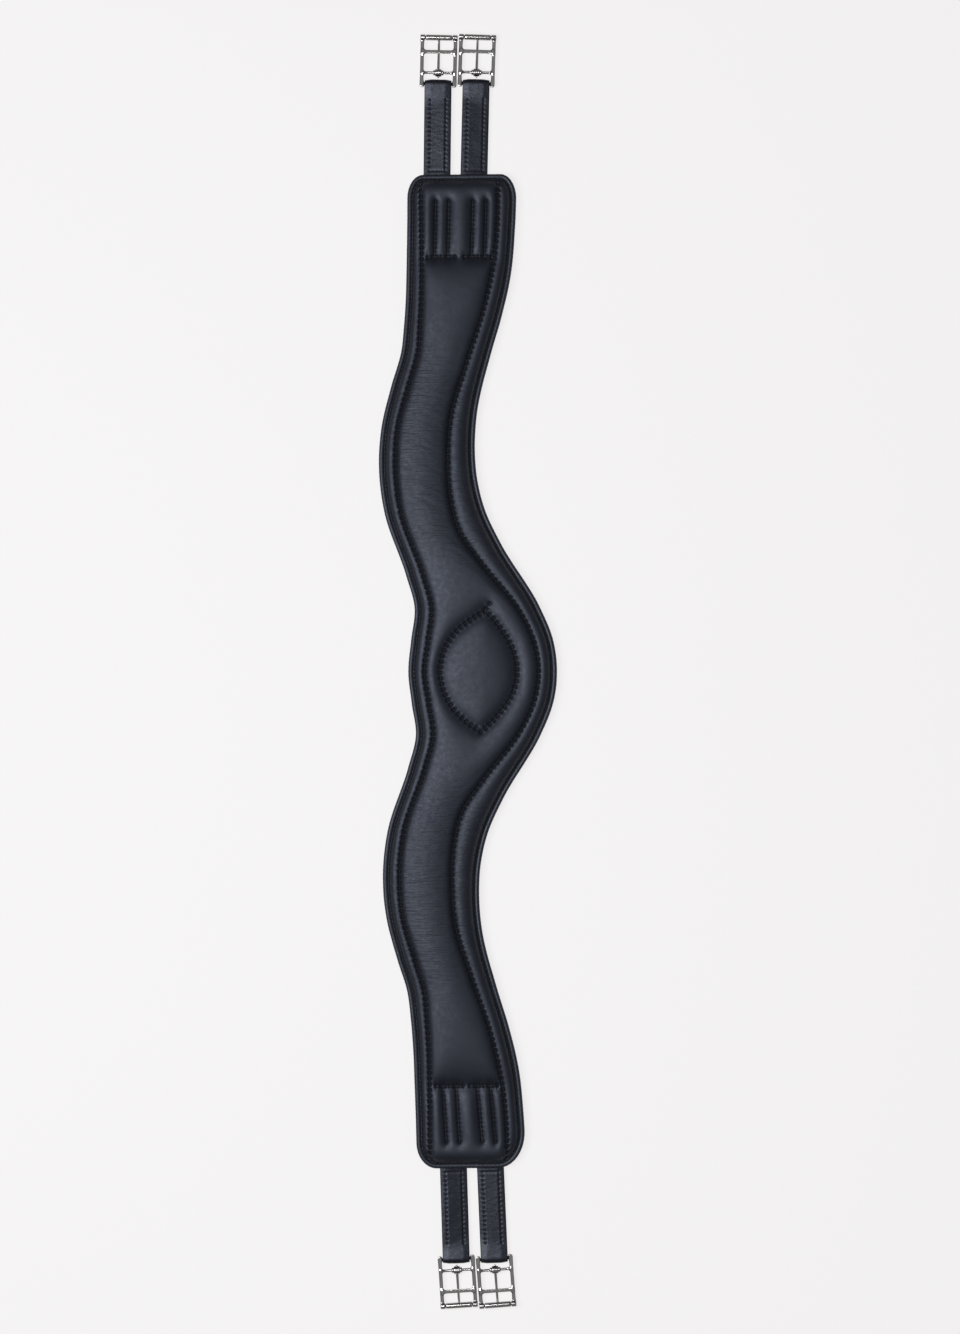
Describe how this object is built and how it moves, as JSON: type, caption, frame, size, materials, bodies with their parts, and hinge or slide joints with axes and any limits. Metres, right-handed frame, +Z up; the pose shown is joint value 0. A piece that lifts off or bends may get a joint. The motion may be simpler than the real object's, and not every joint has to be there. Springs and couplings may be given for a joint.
{
  "type": "saddle girth",
  "caption": "Contoured, padded leather saddle girth with rolled stitched edges, doubled leather straps and roller buckles at both ends, lying flat with its horse side up.",
  "frame": {"origin": "middle of the girth's box, on the surface it lies on", "axes": "+Z up out of the padded horse side, Y along the girth with +Y towards the near (left) buckles, +X towards the horse's front"},
  "size_m": [0.1654, 1.2006, 0.024],
  "materials": {
    "lining_leather": "soft matt padded leather",
    "piping_leather": "smooth rolled edge with a low sheen",
    "outer_leather": "smooth vegetable-tanned leather",
    "strap_leather": "smooth firm leather with a low sheen",
    "foam": "closed-cell foam",
    "webbing": "woven nylon web",
    "polished_steel": "polished stainless steel"
  },
  "bodies": {
    "girth": {"lining_panel": "lining_leather", "foam_core": "foam", "core_webbing": "webbing", "outer_panel": "outer_leather", "outer_reinforcing_band": "outer_leather", "edge_piping": "piping_leather", "ring_chape": "strap_leather", "buckle_strap_near_rear": "strap_leather", "buckle_strap_near_front": "strap_leather", "buckle_strap_off_rear": "strap_leather", "buckle_strap_off_front": "strap_leather"},
    "buckle_near_rear": {"buckle_frame_near_rear": "polished_steel"},
    "tongue_near_rear": {"buckle_tongue_near_rear": "polished_steel"},
    "roller_near_rear": {"buckle_roller_near_rear": "polished_steel"},
    "buckle_near_front": {"buckle_frame_near_front": "polished_steel"},
    "tongue_near_front": {"buckle_tongue_near_front": "polished_steel"},
    "roller_near_front": {"buckle_roller_near_front": "polished_steel"},
    "buckle_off_rear": {"buckle_frame_off_rear": "polished_steel"},
    "tongue_off_rear": {"buckle_tongue_off_rear": "polished_steel"},
    "roller_off_rear": {"buckle_roller_off_rear": "polished_steel"},
    "buckle_off_front": {"buckle_frame_off_front": "polished_steel"},
    "tongue_off_front": {"buckle_tongue_off_front": "polished_steel"},
    "roller_off_front": {"buckle_roller_off_front": "polished_steel"},
    "ring": {"girth_ring": "polished_steel"}
  },
  "joints": [
    {"name": "buckle_swing_near_rear", "type": "hinge", "parent": "girth", "child": "buckle_near_rear", "pos_m": [-0.02381, 0.5531, 0.0046], "axis": [0.9995, -0.0314, 0], "range_deg": [-120, 120]},
    {"name": "tongue_swing_near_rear", "type": "hinge", "parent": "buckle_near_rear", "child": "tongue_near_rear", "pos_m": [-0.02348, 0.56359, 0.0049], "axis": [-0.9995, 0.0314, 0], "range_deg": [0, 130]},
    {"name": "roller_spin_near_rear", "type": "hinge", "parent": "buckle_near_rear", "child": "roller_near_rear", "pos_m": [-0.02245, 0.59648, 0.0059], "axis": [0.9995, -0.0314, 0], "continuous": true},
    {"name": "buckle_swing_near_front", "type": "hinge", "parent": "girth", "child": "buckle_near_front", "pos_m": [0.01204, 0.5531, 0.0046], "axis": [0.999, -0.0436, 0], "range_deg": [-120, 120]},
    {"name": "tongue_swing_near_front", "type": "hinge", "parent": "buckle_near_front", "child": "tongue_near_front", "pos_m": [0.0125, 0.56359, 0.0049], "axis": [-0.999, 0.0436, 0], "range_deg": [0, 130]},
    {"name": "roller_spin_near_front", "type": "hinge", "parent": "buckle_near_front", "child": "roller_near_front", "pos_m": [0.01393, 0.59646, 0.0059], "axis": [0.999, -0.0436, 0], "continuous": true},
    {"name": "buckle_swing_off_rear", "type": "hinge", "parent": "girth", "child": "buckle_off_rear", "pos_m": [-0.01731, -0.5531, 0.0046], "axis": [-0.9985, -0.0541, 0], "range_deg": [-120, 120]},
    {"name": "tongue_swing_off_rear", "type": "hinge", "parent": "buckle_off_rear", "child": "tongue_off_rear", "pos_m": [-0.01675, -0.56359, 0.0049], "axis": [0.9985, 0.0541, 0], "range_deg": [0, 130]},
    {"name": "roller_spin_off_rear", "type": "hinge", "parent": "buckle_off_rear", "child": "roller_off_rear", "pos_m": [-0.01497, -0.59644, 0.0059], "axis": [-0.9985, -0.0541, 0], "continuous": true},
    {"name": "buckle_swing_off_front", "type": "hinge", "parent": "girth", "child": "buckle_off_front", "pos_m": [0.01854, -0.5531, 0.0046], "axis": [-0.9978, -0.0663, 0], "range_deg": [-120, 120]},
    {"name": "tongue_swing_off_front", "type": "hinge", "parent": "buckle_off_front", "child": "tongue_off_front", "pos_m": [0.01924, -0.56358, 0.0049], "axis": [0.9978, 0.0663, 0], "range_deg": [0, 130]},
    {"name": "roller_spin_off_front", "type": "hinge", "parent": "buckle_off_front", "child": "roller_off_front", "pos_m": [0.02142, -0.5964, 0.0059], "axis": [-0.9978, -0.0663, 0], "continuous": true},
    {"name": "ring_swing", "type": "hinge", "parent": "girth", "child": "ring", "pos_m": [0.048, 0, 0.0034], "axis": [0, 1, 0], "range_deg": [-8, 140]}
  ]
}
